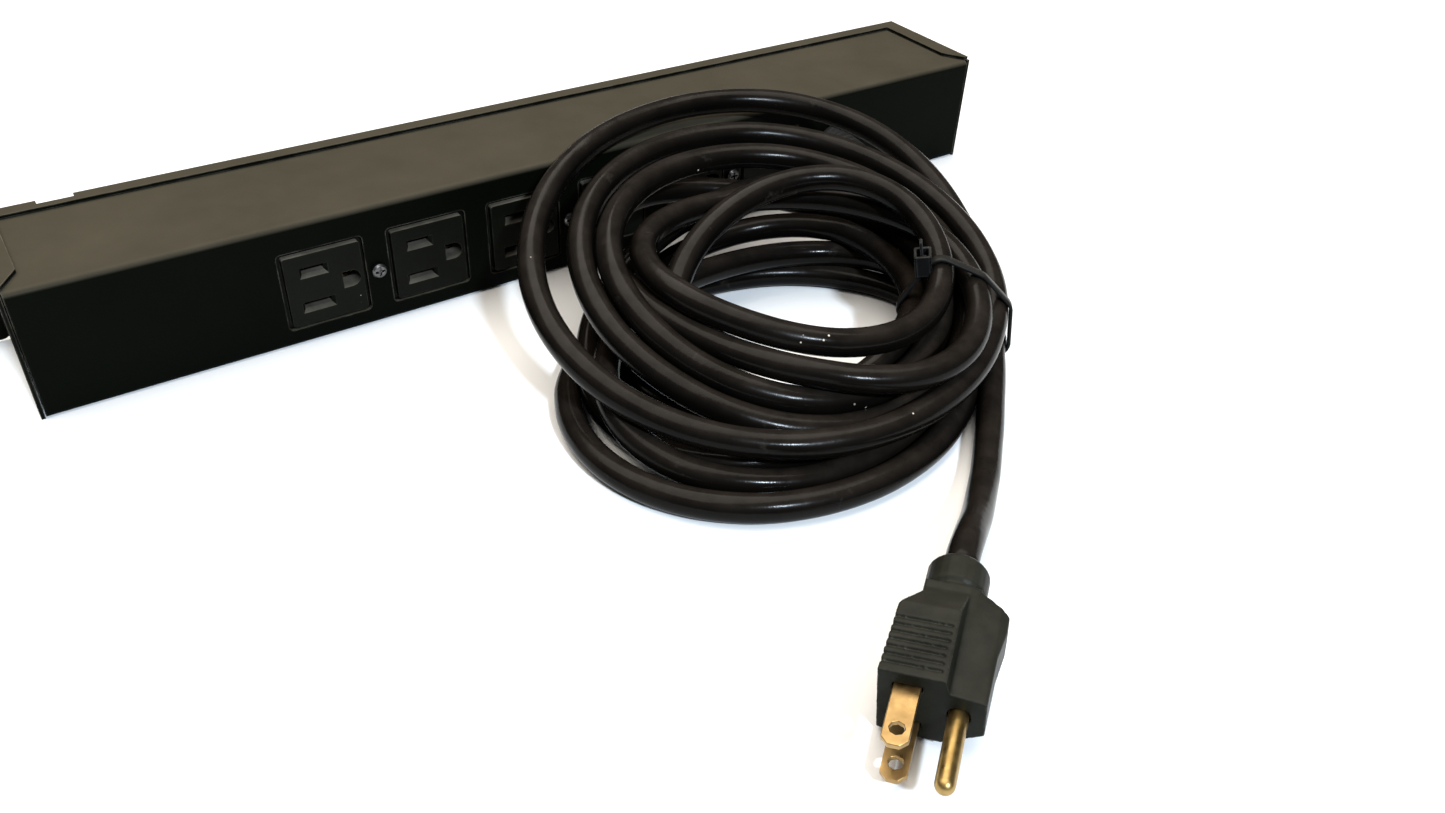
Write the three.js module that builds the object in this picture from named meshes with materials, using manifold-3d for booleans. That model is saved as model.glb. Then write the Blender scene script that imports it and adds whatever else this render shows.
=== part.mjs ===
// Six-outlet metal power strip with its coiled mains cord and grounded plug.
// Millimetres, +Z up. The origin is at the middle of the housing's underside, X runs along
// the housing and the outlets face -Y.
import * as THREE from 'three';
import { mergeVertices } from 'three/addons/utils/BufferGeometryUtils.js';
import Module from 'manifold-3d';

const wasm = await Module();
wasm.setup();

// ---- driving dimensions -------------------------------------------------------------------
const LENGTH = 380;            // over the end walls
const DEPTH = 52;              // front face to back plate
const PANEL_HEIGHT = 44;       // top panel of the front shell
const SHEET = 1.2;             // steel sheet
const GAP = 0.3;               // between pieces that touch on the real object
const BEND = 2.2;              // outer radius of the folded edges
const LIP = 5.4;               // tray lip over the back edge of the top panel
const END_LIP = 7.3;           // tray lip over each end of the top panel
const EAR = 13;                // mounting ear beyond each end
const EAR_HEIGHT = 30;
const SCREW_HEAD = 1.5;        // height of the screw heads between the outlets

const OUTLETS = 6;
const OUTLET_PITCH = 36.4;
const FIRST_OUTLET_X = -99.2;
const FACE = 25.6;             // square outlet face
const FACE_Z = 20.3;           // height of the outlets' middle
const FACE_PROUD = 0.8;        // how far a face stands out of the front
const FACE_CLEARANCE = 1.3;    // gap round each face
const FACE_CORNER = 1.5;       // corner radius of the openings in the front
const BLADE_SPACING = 12.7;
const GROUND_OFFSET = 11.9;    // ground pin from the blades' plane
const SLOT_X = -3.2;           // blade slots from the middle of a face
const LIVE_SLOT = 7.4;         // the live slot is the shorter of the two
const NEUTRAL_SLOT = 9;
const SLOT_HEIGHT = 2;
const GROUND_ENTRY = 3;        // half its width: square on one side, round on the other
const SLOT_RIM = 1;            // sloped lead-in round each slot: how far it reaches past it
const SLOT_RIM_DEPTH = 1.3;
const MODULE_HALF_WIDTH = 34;
const MODULE_HALF_HEIGHT = 15;
const MODULE_DEPTH = 16.5;
const BACK_COVER = 4;
const CHAMBER_DEPTH = 12;      // room for the contacts, open to the back of the module
const CHAMBER_NEAR = 3.9;      // the blade contacts' chambers, from the middle plane
const CHAMBER_FAR = 12.6;
const CONTACT_SHEET = 0.6;     // brass of the spring leaves
const BUS_SHEET = 0.8;
const LEAF_LENGTH = 9.5;

const CORD_DIAMETER = 9;
const LEAD_DIAMETER = 2.8;
const LEAD_SPACING = 9;        // the leads run one above the other behind the modules
const EXIT_X = 115;            // where the cord leaves the front face
const EXIT_Z = 22;
const RELIEF_LENGTH = 25;      // strain relief outside the housing
const RELIEF_ROOT = 8;         // its radius at the wall
const RELIEF_TIP = 6;

const COIL_CENTRE = [24, -104];
const COIL_RADIUS = 88.5;      // mean outer radius of the oval coil
const COIL_OVAL = 9.5;         // how far its long axis reaches past that
const COIL_TURN = Math.PI / 3; // direction of the long axis
const HOLE_CENTRE = [31, -112];
const HOLE_RADII = [46, 31];
const COIL_HEIGHT = 45;        // mean height; it leans on the housing
const COIL_LEAN = 10;

const TIE_ANGLE = -0.52;       // where the cable tie holds the coil
const TIE_WIDTH = 3.6;
const TIE_THICKNESS = 1.5;

const PLUG_PLACE = [-48.1, -256.3, 12.3];  // middle of the plug's face, between the blades
const PLUG_YAW = -2.487;
const PLUG_PITCH = 0.05;       // the cord lifts the neck end a little
const PLUG_ROLL = 0.1;
const PLUG_HALF_THICKNESS = 11;
const NECK_Y = 5.2;            // cord axis, from the blades' plane towards the ground pin
const NECK_END = -45;
const BLADE_LENGTH = 16.3;
const BLADE_HALF_WIDTH = 3.175;
const BLADE_THICKNESS = 1.5;
const BLADE_TIP = 1.8;         // cut off each corner of a blade's tip
const BLADE_HOLE_X = 11.7;
const BLADE_HOLE_RADIUS = 1.8;
const PIN_LENGTH = 20.7;
const PIN_RADIUS = 2.38;
const SOCKET_DEPTH = 9;        // how deep blades and pin sit in the plug
const RIBS = 7;                // grip grooves across the plug
const FIRST_RIB_X = -17.2;
const RIB_PITCH = 2.3;
const RIB_WIDTH = 0.7;
const RIB_DEPTH = 0.8;
const RIB_END_Y = 7.6;

const FRONT = -DEPTH / 2;
const BACK = DEPTH / 2;
const HALF = LENGTH / 2;
const INNER_HALF = HALF - SHEET - GAP;     // the shell ends inside the end walls
const LIP_UNDERSIDE = PANEL_HEIGHT + GAP;
const LIP_TOP = LIP_UNDERSIDE + SHEET;
const MODULE_FRONT = FRONT + SHEET + GAP;
const MODULE_BACK = MODULE_FRONT + MODULE_DEPTH;
const CORD_RADIUS = CORD_DIAMETER / 2;

// The cord's route where it is not coiled: the lead from the strain relief to the coil, and
// the tail from the coil to the plug.
const LEAD_ROUTE = [
  [115, -51.3, 22], [115, -55, 21.8], [115, -60, 20.8], [114.7, -66, 18.8],
  [114, -73, 16], [112.5, -80, 13], [110, -88, 10.2], [106.5, -96, 8.2],
];
const TAIL_ROUTE = [
  [84, -150.5, 13.2], [81.2, -154.4, 11.8], [78, -158.7, 10], [74.3, -163.2, 8.4],
  [69.5, -168.3, 7], [64, -173.7, 5.9], [58.5, -179, 5.3], [53, -184.4, 4.9],
  [47.2, -189.6, 4.75], [41.3, -194.8, 4.7], [35.4, -200, 4.85], [29.2, -205, 5.4],
  [22.5, -210.3, 6.8], [15.3, -215.7, 8.9], [8, -220.7, 11.7], [1.6, -225.1, 14],
  [-3.9, -228.9, 15.1], [-8.8, -232.7, 15.1],
];

// ---- materials ----------------------------------------------------------------------------
const finish = (color, roughness, metalness) =>
  new THREE.MeshStandardMaterial({ color, roughness, metalness });
const blackPaint = finish(0x2b2723, 0.5, 0.2);
const blackPlastic = finish(0x17171a, 0.45, 0);
const brass = finish(0xc79a4a, 0.3, 1);
const zincSteel = finish(0xb9bcc0, 0.35, 1);
const blackRubber = finish(0x1b1a19, 0.4, 0);
const nylon = finish(0x101012, 0.4, 0);
const whiteWire = finish(0xd8d8d4, 0.5, 0);
const greenWire = finish(0x2f7a3c, 0.5, 0);

// ---- geometry helpers ---------------------------------------------------------------------
function solid(geometry) {
  const bare = geometry.clone();
  bare.deleteAttribute('normal');
  bare.deleteAttribute('uv');
  const merged = mergeVertices(bare, 1e-4);
  return new wasm.Manifold(new wasm.Mesh({
    numProp: 3,
    vertProperties: new Float32Array(merged.attributes.position.array),
    triVerts: new Uint32Array(merged.index.array),
  }));
}

function toGeometry(manifold) {
  const mesh = manifold.getMesh();
  const geometry = new THREE.BufferGeometry();
  geometry.setAttribute('position', new THREE.BufferAttribute(mesh.vertProperties, 3));
  geometry.setIndex(new THREE.BufferAttribute(mesh.triVerts, 1));
  return geometry;
}

const union = (solids) => solids.reduce((all, next) => all.add(next));

// A box from its lowest to its highest corner.
function block(x0, x1, y0, y1, z0, z1) {
  const geometry = new THREE.BoxGeometry(x1 - x0, y1 - y0, z1 - z0);
  geometry.translate((x0 + x1) / 2, (y0 + y1) / 2, (z0 + z1) / 2);
  return solid(geometry);
}

// A block along Y that narrows evenly from its front to its rear, about (x, z).
function taperedBlock(x, z, front, rear) {
  const geometry = new THREE.BoxGeometry(1, 1, 1);
  const position = geometry.attributes.position;
  for (let i = 0; i < position.count; i += 1) {
    const end = position.getY(i) < 0 ? front : rear;
    position.setXYZ(i, x + 2 * position.getX(i) * end.halfX, end.y,
      z + 2 * position.getZ(i) * end.halfZ);
  }
  return solid(geometry);
}

// A cylinder along the Y axis.
function rodY(radius, y0, y1, x, z, sides = 24) {
  const geometry = new THREE.CylinderGeometry(radius, radius, y1 - y0, sides);
  geometry.translate(x, (y0 + y1) / 2, z);
  return solid(geometry);
}

function outline(points) {
  return new THREE.Shape(points.map(([a, b]) => new THREE.Vector2(a, b)));
}

function extrude(shape, depth) {
  return new THREE.ExtrudeGeometry(shape, { depth, bevelEnabled: false, curveSegments: 4 });
}

// A profile in (y, z), extruded along X from x0 to x1.
function extrudeX(shape, x0, x1) {
  const geometry = extrude(shape, x1 - x0);
  geometry.applyMatrix4(new THREE.Matrix4().makeBasis(
    new THREE.Vector3(0, 1, 0), new THREE.Vector3(0, 0, 1), new THREE.Vector3(1, 0, 0)));
  geometry.translate(x0, 0, 0);
  return solid(geometry);
}

// A profile in (x, z), extruded along Y from y0 to y1.
function extrudeY(shape, y0, y1) {
  const geometry = extrude(shape, y1 - y0);
  geometry.rotateX(Math.PI / 2);
  geometry.translate(0, y1, 0);
  return solid(geometry);
}

function roundedRectangle(width, height, radius, x = 0, z = 0) {
  const w = width / 2;
  const h = height / 2;
  const shape = new THREE.Shape();
  shape.moveTo(x - w + radius, z - h);
  shape.lineTo(x + w - radius, z - h);
  shape.absarc(x + w - radius, z - h + radius, radius, -Math.PI / 2, 0);
  shape.absarc(x + w - radius, z + h - radius, radius, 0, Math.PI / 2);
  shape.absarc(x - w + radius, z + h - radius, radius, Math.PI / 2, Math.PI);
  shape.absarc(x - w + radius, z - h + radius, radius, Math.PI, 1.5 * Math.PI);
  return shape;
}

// A round tube along a smooth curve through the points.
function tube(points, radius, sides, steps) {
  const path = new THREE.CatmullRomCurve3(points.map((p) => new THREE.Vector3(...p)));
  const section = new THREE.Shape();
  for (let i = 0; i < sides; i += 1) {
    const angle = (2 * Math.PI * i) / sides;
    const place = [radius * Math.cos(angle), radius * Math.sin(angle)];
    if (i === 0) section.moveTo(...place);
    else section.lineTo(...place);
  }
  section.closePath();
  return new THREE.ExtrudeGeometry(section, { steps, bevelEnabled: false, extrudePath: path });
}

const strip = new THREE.Group();

function addPiece(name, shape, material, parent = strip) {
  const geometry = shape.isBufferGeometry ? shape : toGeometry(shape);
  const mesh = new THREE.Mesh(geometry, material);
  mesh.name = name;
  parent.add(mesh);
  return mesh;
}

const outletX = (index) => FIRST_OUTLET_X + index * OUTLET_PITCH;
const moduleX = (index) => (outletX(2 * index) + outletX(2 * index + 1)) / 2;

// ---- front shell: folded channel with the top, front and underside ------------------------
function shellProfile() {
  const inner = BEND - SHEET;
  const rear = BACK - SHEET - GAP;
  const flange = 13;
  const shape = new THREE.Shape();
  shape.moveTo(rear, PANEL_HEIGHT);
  shape.lineTo(FRONT + BEND, PANEL_HEIGHT);
  shape.absarc(FRONT + BEND, PANEL_HEIGHT - BEND, BEND, Math.PI / 2, Math.PI);
  shape.absarc(FRONT + BEND, BEND, BEND, Math.PI, 1.5 * Math.PI);
  shape.lineTo(rear, 0);
  shape.lineTo(rear, flange);
  shape.lineTo(rear - SHEET, flange);
  shape.lineTo(rear - SHEET, SHEET);
  shape.lineTo(FRONT + BEND, SHEET);
  shape.absarc(FRONT + BEND, BEND, inner, 1.5 * Math.PI, Math.PI, true);
  shape.absarc(FRONT + BEND, PANEL_HEIGHT - BEND, inner, Math.PI, Math.PI / 2, true);
  shape.lineTo(rear, PANEL_HEIGHT - SHEET);
  return shape;
}

const COVER_SCREW_X = [-150, -50, 50, 150];
const COVER_SCREW_Z = 7.5;
const COVER_SCREW_LENGTH = 9;
const FLAT_HEAD_RADIUS = 2.9;  // countersunk, so that the back plate lies flat on a wall
const SHANK_RADIUS = 1.6;
const SCREW_HOLE_RADIUS = SHANK_RADIUS + GAP;

function frontShell() {
  const outside = FRONT - 1;
  const inside = FRONT + SHEET + 1;
  let shell = extrudeX(shellProfile(), -INNER_HALF, INNER_HALF);
  const opening = FACE + 2 * FACE_CLEARANCE;
  for (let i = 0; i < OUTLETS; i += 1) {
    const cut = roundedRectangle(opening, opening, FACE_CORNER, outletX(i), FACE_Z);
    shell = shell.subtract(extrudeY(cut, outside, inside));
  }
  for (let i = 0; i < OUTLETS / 2; i += 1) {
    shell = shell.subtract(rodY(SCREW_HOLE_RADIUS, outside, inside, moduleX(i), FACE_Z));
  }
  shell = shell.subtract(rodY(RELIEF_ROOT - 1, outside, inside, EXIT_X, EXIT_Z));
  for (const x of COVER_SCREW_X) {
    const flangeHole = rodY(SCREW_HOLE_RADIUS, BACK - 5, BACK, x, COVER_SCREW_Z, 16);
    shell = shell.subtract(flangeHole);
  }
  return shell;
}

// ---- back tray: back plate, end walls, the lips over the top panel and mounting ears -------
const KEYHOLE_Z = 16;          // middle of the ears' keyhole slots
const KEYHOLE_HALF = 4;        // from there to the round part and to the narrow end
const KEYHOLE_RADIUS = 3.6;
const KEYHOLE_NECK = 1.9;
const LIP_NOTCH = [-HALF + 20, -HALF + 31];  // cut into the back edge near the left end

function lipOutline() {
  const inner = HALF - END_LIP;
  const point = FRONT + 1.8;     // the end lips run out to a point at the front corners
  const shoulder = FRONT + 10.5;
  const lipFront = BACK - LIP;
  return outline([
    [HALF, BACK], [-HALF, BACK], [-HALF, point], [-HALF + 1.7, point], [-inner, shoulder],
    [-inner, lipFront], [inner, lipFront], [inner, shoulder], [HALF - 1.7, point], [HALF, point],
  ]);
}

function mountingEar(side) {
  const overlap = 1;                   // with the back plate, so that they are one piece
  const middle = side * (HALF + (EAR - overlap) / 2);
  const ear = roundedRectangle(EAR + overlap, EAR_HEIGHT, 3, middle, EAR_HEIGHT / 2 + 1);
  const holeX = side * (HALF + EAR / 2 + 0.5);
  const low = KEYHOLE_Z - KEYHOLE_HALF;
  const high = KEYHOLE_Z + KEYHOLE_HALF;
  const near = BACK - 4;
  const far = BACK + 1;
  return extrudeY(ear, BACK - SHEET, BACK)
    .subtract(rodY(KEYHOLE_RADIUS, near, far, holeX, low))
    .subtract(block(holeX - KEYHOLE_NECK, holeX + KEYHOLE_NECK, near, far, low, high))
    .subtract(rodY(KEYHOLE_NECK, near, far, holeX, high, 16));
}

function backTray() {
  const lip = extrude(lipOutline(), SHEET);
  lip.translate(0, 0, LIP_UNDERSIDE);
  const notch = block(...LIP_NOTCH, BACK - 2 * SHEET, BACK + 1, LIP_TOP - 4, LIP_TOP + 1);
  const wallFront = FRONT + 0.4;
  const wallTop = LIP_UNDERSIDE + 0.1;   // a little into the lips, so that they are one piece
  let tray = union([
    block(-HALF, HALF, BACK - SHEET, BACK, 0, LIP_TOP - 0.1),
    block(-HALF, -HALF + SHEET, wallFront, BACK, 0, wallTop),
    block(HALF - SHEET, HALF, wallFront, BACK, 0, wallTop),
    solid(lip), mountingEar(-1), mountingEar(1),
  ]).subtract(notch);
  for (const x of COVER_SCREW_X) {
    const hole = [
      [0, -1], [FLAT_HEAD_RADIUS + 2 * GAP, -1], [FLAT_HEAD_RADIUS + GAP, 0],
      [SHANK_RADIUS + GAP, SHEET], [SHANK_RADIUS + GAP, 3], [0, 3],
    ];
    tray = tray.subtract(turned(hole).rotate(0, 0, 180).translate(x, BACK, COVER_SCREW_Z));
  }
  return tray;
}

// A profile of [radius, y] points, turned round the Y axis.
function turned(profile, sides = 20) {
  return solid(new THREE.LatheGeometry(profile.map(([r, y]) => new THREE.Vector2(r, y)), sides));
}

function crossRecess(reach, depth) {
  const half = 0.4;
  return block(-reach, reach, -1, depth, -half, half)
    .add(block(-half, half, -1, depth, -reach, reach));
}

function flatScrew(length) {
  const profile = [
    [0, 0], [FLAT_HEAD_RADIUS, 0], [SHANK_RADIUS, SHEET], [SHANK_RADIUS, length - 1],
    [SHANK_RADIUS - 0.8, length], [0, length],
  ];
  return turned(profile).subtract(crossRecess(1.7, 0.9));
}

function panScrew(headRadius, headHeight, shankRadius, length) {
  const profile = [
    [0, 0], [headRadius - 0.6, 0], [headRadius, 0.6], [headRadius, headHeight],
    [shankRadius, headHeight], [shankRadius, length - 1], [shankRadius - 0.8, length],
    [0, length],
  ];
  return turned(profile).subtract(crossRecess(1.7, headHeight * 0.7));
}

addPiece('front_shell', frontShell(), blackPaint);
addPiece('back_tray', backTray(), blackPaint);
COVER_SCREW_X.forEach((x, i) => {
  const screw = addPiece(`cover_screw_${i + 1}`, flatScrew(COVER_SCREW_LENGTH), zincSteel);
  screw.position.set(x, BACK, COVER_SCREW_Z);
  screw.rotation.z = Math.PI;
});

// ---- receptacle modules: each holds two outlets ---------------------------------------------
const slotTop = BLADE_SPACING / 2;
const BLADE_BUS = [-28, 20];   // ends of the bus strips along a module
const GROUND_BUS = [-19, 30];
const GROUND_BUS_HALF = 2.9;
const PAN_HEAD_RADIUS = 2.6;
const FACE_SCREW_LENGTH = 18;

// The three entries of one outlet face: the live slot above, the neutral one below.
function outletEntries(x) {
  const faceFront = FRONT - FACE_PROUD;
  const outside = faceFront - 1;
  const rear = MODULE_BACK - 2;
  const slotX = x + SLOT_X;
  const groundX = slotX + GROUND_OFFSET;
  const entries = [
    rodY(GROUND_ENTRY, outside, rear, groundX, 0),
    block(groundX - GROUND_ENTRY, groundX, outside, rear, -GROUND_ENTRY, GROUND_ENTRY),
  ];
  const rimOutside = SLOT_RIM * (1 + 1 / SLOT_RIM_DEPTH);   // 1 mm in front of the face
  for (const [z, width] of [[slotTop, LIVE_SLOT], [-slotTop, NEUTRAL_SLOT]]) {
    const half = width / 2;
    const tall = SLOT_HEIGHT / 2;
    const wide = { y: outside, halfX: half + rimOutside, halfZ: tall + rimOutside };
    const narrow = { y: faceFront + SLOT_RIM_DEPTH, halfX: half, halfZ: tall };
    entries.push(
      block(slotX - half, slotX + half, outside, rear, z - tall, z + tall),
      taperedBlock(slotX, z, wide, narrow),
    );
  }
  return union(entries);
}

function receptacleFront() {
  let body = block(-MODULE_HALF_WIDTH, MODULE_HALF_WIDTH, MODULE_FRONT, MODULE_BACK,
    -MODULE_HALF_HEIGHT, MODULE_HALF_HEIGHT);
  const faceFront = FRONT - FACE_PROUD;
  for (const side of [-1, 1]) {
    const x = side * OUTLET_PITCH / 2;
    const face = roundedRectangle(FACE, FACE, 1, x, 0);
    body = body.add(extrudeY(face, faceFront, MODULE_FRONT + 1)).subtract(outletEntries(x));
  }
  const chamber = MODULE_BACK - CHAMBER_DEPTH;
  const rear = MODULE_BACK + 1;
  const [left, right] = [BLADE_BUS[0] - 2, BLADE_BUS[1] + 4];
  const groundRoom = GROUND_BUS_HALF + 0.5;
  body = body
    .subtract(block(left, right, chamber, rear, CHAMBER_NEAR, CHAMBER_FAR))
    .subtract(block(left, right, chamber, rear, -CHAMBER_FAR, -CHAMBER_NEAR))
    .subtract(block(GROUND_BUS[0] - 1, GROUND_BUS[1] + 1, MODULE_BACK - 4, rear,
      -groundRoom, groundRoom))
    .subtract(rodY(SCREW_HOLE_RADIUS, MODULE_FRONT - 1, rear, 0, 0));
  for (const side of [-1, 1]) {
    const groundX = side * OUTLET_PITCH / 2 + SLOT_X + GROUND_OFFSET;
    body = body.subtract(block(groundX - 4.3, groundX + 4.3, chamber, rear,
      -groundRoom, groundRoom));
  }
  return body;
}

// A bus strip with a two-leaf clip behind each blade slot; direction is +1 live, -1 neutral.
function bladeContact(direction) {
  const rear = MODULE_BACK - GAP;
  const leafRear = rear - 1;
  const half = 3.2;
  const firstLeaf = slotTop - 1.6;
  const secondLeaf = slotTop + 1;
  const busZ = 11;
  const place = (z0, z1) => (direction > 0 ? [z0, z1] : [-z1, -z0]);
  const pieces = [block(...BLADE_BUS, rear - 9, rear, ...place(busZ, busZ + BUS_SHEET))];
  for (const side of [-1, 1]) {
    const x = side * OUTLET_PITCH / 2 + SLOT_X;
    for (const z of [firstLeaf, secondLeaf]) {
      pieces.push(block(x - half, x + half, leafRear - LEAF_LENGTH, leafRear,
        ...place(z, z + CONTACT_SHEET)));
    }
    pieces.push(block(x - half, x + half, leafRear - BUS_SHEET, leafRear,
      ...place(firstLeaf, busZ + 0.4)));
  }
  return union(pieces);
}

// A bus strip with a two-leaf clip behind each ground entry.
function groundContact() {
  const rear = MODULE_BACK - GAP;
  const busFront = rear - 1;
  const half = 3;
  const reach = 3.1;
  const pieces = [block(...GROUND_BUS, busFront, rear, -GROUND_BUS_HALF, GROUND_BUS_HALF)];
  for (const side of [-1, 1]) {
    const x = side * OUTLET_PITCH / 2 + SLOT_X + GROUND_OFFSET;
    for (const z of [-reach, reach - CONTACT_SHEET]) {
      pieces.push(block(x - half, x + half, busFront - LEAF_LENGTH, rear - 0.5,
        z, z + CONTACT_SHEET));
    }
    pieces.push(block(x - half, x + half, busFront, rear, -reach, reach));
  }
  return union(pieces).subtract(rodY(SCREW_HOLE_RADIUS, rear - 3, rear + 1, 0, 0, 16));
}

for (let i = 0; i < OUTLETS / 2; i += 1) {
  const module = new THREE.Group();
  module.position.set(moduleX(i), 0, FACE_Z);
  strip.add(module);
  const number = i + 1;
  addPiece(`receptacle_front_${number}`, receptacleFront(), blackPlastic, module);
  const cover = block(-MODULE_HALF_WIDTH, MODULE_HALF_WIDTH, MODULE_BACK + GAP,
    MODULE_BACK + GAP + BACK_COVER, -MODULE_HALF_HEIGHT, MODULE_HALF_HEIGHT);
  addPiece(`receptacle_back_${number}`, cover, blackPlastic, module);
  addPiece(`live_contact_${number}`, bladeContact(1), brass, module);
  addPiece(`neutral_contact_${number}`, bladeContact(-1), brass, module);
  addPiece(`ground_contact_${number}`, groundContact(), brass, module);
  const screw = addPiece(`receptacle_screw_${number}`,
    panScrew(PAN_HEAD_RADIUS, SCREW_HEAD, SHANK_RADIUS, FACE_SCREW_LENGTH), zincSteel, module);
  screw.position.set(0, FRONT - GAP - SCREW_HEAD, 0);
}

// ---- wiring inside the housing -------------------------------------------------------------
const WIRE_Y = MODULE_BACK + BACK_COVER + GAP + LEAD_DIAMETER / 2 + 0.5;
const wiring = [
  { name: 'live_lead', z: FACE_Z + LEAD_SPACING, material: blackRubber },
  { name: 'neutral_lead', z: FACE_Z, material: whiteWire },
  { name: 'ground_lead', z: FACE_Z - LEAD_SPACING, material: greenWire },
];
const GATHERED = 0.38;         // the leads come together behind the strain relief
for (const { name, z, material } of wiring) {
  const glandZ = EXIT_Z + (z - FACE_Z) * GATHERED;
  const route = [
    [EXIT_X, FRONT + 9, glandZ], [EXIT_X, FRONT + 16, glandZ], [EXIT_X - 4, WIRE_Y - 4, z],
    [EXIT_X - 18, WIRE_Y, z], [20, WIRE_Y + 1, z], [FIRST_OUTLET_X, WIRE_Y, z],
  ];
  addPiece(name, tube(route, LEAD_DIAMETER / 2, 6, 24), material);
}

// ---- strain relief where the cord leaves the front face -------------------------------------
function strainRelief() {
  const waist = RELIEF_ROOT - 1.6;      // inside the hole in the sheet
  const collar = RELIEF_ROOT + 1;
  const collarEnd = 3;
  const sheetBack = -SHEET - GAP;
  const innerEnd = sheetBack - GAP - 4;
  const profile = [
    [0, innerEnd], [RELIEF_ROOT, innerEnd], [RELIEF_ROOT, sheetBack], [waist, sheetBack],
    [waist, GAP], [collar, GAP], [collar, collarEnd], [RELIEF_ROOT, collarEnd + 1.5],
    [RELIEF_TIP, RELIEF_LENGTH - 1], [RELIEF_TIP - 1, RELIEF_LENGTH], [0, RELIEF_LENGTH],
  ];
  return turned(profile);
}

const relief = addPiece('strain_relief', strainRelief(), blackRubber);
relief.position.set(EXIT_X, FRONT, EXIT_Z);
relief.rotation.z = Math.PI;

// ---- cord: lead, coil and tail -----------------------------------------------------------------
function stretched(points, extra) {
  const grow = (from, to) => {
    const step = new THREE.Vector3(...to).sub(new THREE.Vector3(...from)).setLength(extra);
    return [to[0] + step.x, to[1] + step.y, to[2] + step.z];
  };
  const last = points.length - 1;
  return [grow(points[1], points[0]), ...points, grow(points[last - 1], points[last])];
}

// The outer shape of the coil: an oval ring that is tallest at the back, where its upper turns
// lean on the housing. t runs from the hole (0) to the outside (1).
function coilPlace(angle, t, height) {
  const reach = COIL_RADIUS + COIL_OVAL * Math.cos(2 * (angle - COIL_TURN));
  const outer = [COIL_CENTRE[0] + reach * Math.cos(angle), COIL_CENTRE[1] + reach * Math.sin(angle)];
  const inner = [
    HOLE_CENTRE[0] + HOLE_RADII[0] * Math.cos(angle),
    HOLE_CENTRE[1] + HOLE_RADII[1] * Math.sin(angle),
  ];
  const top = COIL_HEIGHT + COIL_LEAN * Math.sin(angle);
  return [
    inner[0] + (outer[0] - inner[0]) * t,
    inner[1] + (outer[1] - inner[1]) * t,
    top * height,
  ];
}

function coilRing() {
  const section = [
    [0.08, 0], [0.92, 0], [1, 0.1], [1, 0.72], [0.8, 1], [0.25, 1], [0, 0.75], [0, 0.1],
    [0.08, 0],
  ];
  const ring = new THREE.LatheGeometry(
    section.map(([t, height]) => new THREE.Vector2(1 + t, height)), 56);
  const position = ring.attributes.position;
  for (let i = 0; i < position.count; i += 1) {
    const x = position.getX(i);
    const z = -position.getZ(i);
    const place = coilPlace(Math.atan2(z, x), Math.hypot(x, z) - 1, position.getY(i));
    position.setXYZ(i, ...place);
  }
  return solid(ring);
}

// The cable tie is a band round the coil's section, standing in the coil's groove.
function tieBand(grow) {
  const inner = coilPlace(TIE_ANGLE, 0, 0);
  const outer = coilPlace(TIE_ANGLE, 1, 0);
  const width = Math.hypot(outer[0] - inner[0], outer[1] - inner[1]);
  const height = coilPlace(TIE_ANGLE, 0, 1)[2];
  const margin = grow > 0 ? 8 : 0;       // cutting the groove, the band reaches past the coil
  const frame = roundedRectangle(width + 2 * margin, height + 2 * margin, 3,
    width / 2, height / 2);
  const wall = TIE_THICKNESS + grow;
  frame.holes.push(new THREE.Path(
    roundedRectangle(width - 2 * wall, height - 2 * wall, 4, width / 2, height / 2).getPoints(4)));
  const band = solid(extrude(frame, TIE_WIDTH + 2 * grow));
  const along = new THREE.Vector3(outer[0] - inner[0], outer[1] - inner[1], 0).normalize();
  const up = new THREE.Vector3(0, 0, 1);
  const through = new THREE.Vector3().crossVectors(along, up);
  const place = new THREE.Matrix4().makeBasis(along, up, through);
  const start = new THREE.Vector3(inner[0], inner[1], 0)
    .addScaledVector(through, -TIE_WIDTH / 2 - grow);
  place.setPosition(start);
  return band.transform(place.elements);
}

const TUBE_SIDES = 12;
const leadTube = tube(LEAD_ROUTE, CORD_RADIUS, TUBE_SIDES, 6);
const tailTube = tube(TAIL_ROUTE, CORD_RADIUS, TUBE_SIDES, 16);
const housingRoom = block(-HALF - 1, HALF + 1, FRONT - SCREW_HEAD - 2 * GAP, BACK + 1,
  -1, PANEL_HEIGHT + GAP);
const coil = coilRing()
  .subtract(housingRoom)
  .subtract(solid(tube(stretched(LEAD_ROUTE, GAP), CORD_RADIUS + GAP, TUBE_SIDES, 12)))
  .subtract(solid(tube(stretched(TAIL_ROUTE, GAP), CORD_RADIUS + GAP, TUBE_SIDES, 32)))
  .subtract(tieBand(GAP));

addPiece('cord_lead', leadTube, blackRubber);
addPiece('cord_coil', coil, blackRubber);
addPiece('cord_tail', tailTube, blackRubber);
addPiece('cable_tie', tieBand(0), nylon);

// ---- plug -------------------------------------------------------------------------------------
// In the plug's own axes X points out of its face, Y towards the ground pin and Z up.
const plug = new THREE.Group();
plug.position.set(...PLUG_PLACE);
plug.rotation.order = 'ZYX';
plug.rotation.set(PLUG_ROLL, PLUG_PITCH, PLUG_YAW);
strip.add(plug);

function plugBlade(z) {
  const half = BLADE_HALF_WIDTH;
  const shoulder = BLADE_LENGTH - BLADE_TIP;
  const shape = outline([
    [-SOCKET_DEPTH, -half], [shoulder, -half], [BLADE_LENGTH, -half + BLADE_TIP],
    [BLADE_LENGTH, half - BLADE_TIP], [shoulder, half], [-SOCKET_DEPTH, half],
  ]);
  const hole = new THREE.Path();
  hole.absarc(BLADE_HOLE_X, 0, BLADE_HOLE_RADIUS, 0, 2 * Math.PI, true);
  shape.holes.push(hole);
  const geometry = extrude(shape, BLADE_THICKNESS);
  geometry.translate(0, 0, z - BLADE_THICKNESS / 2);
  return solid(geometry);
}

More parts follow.
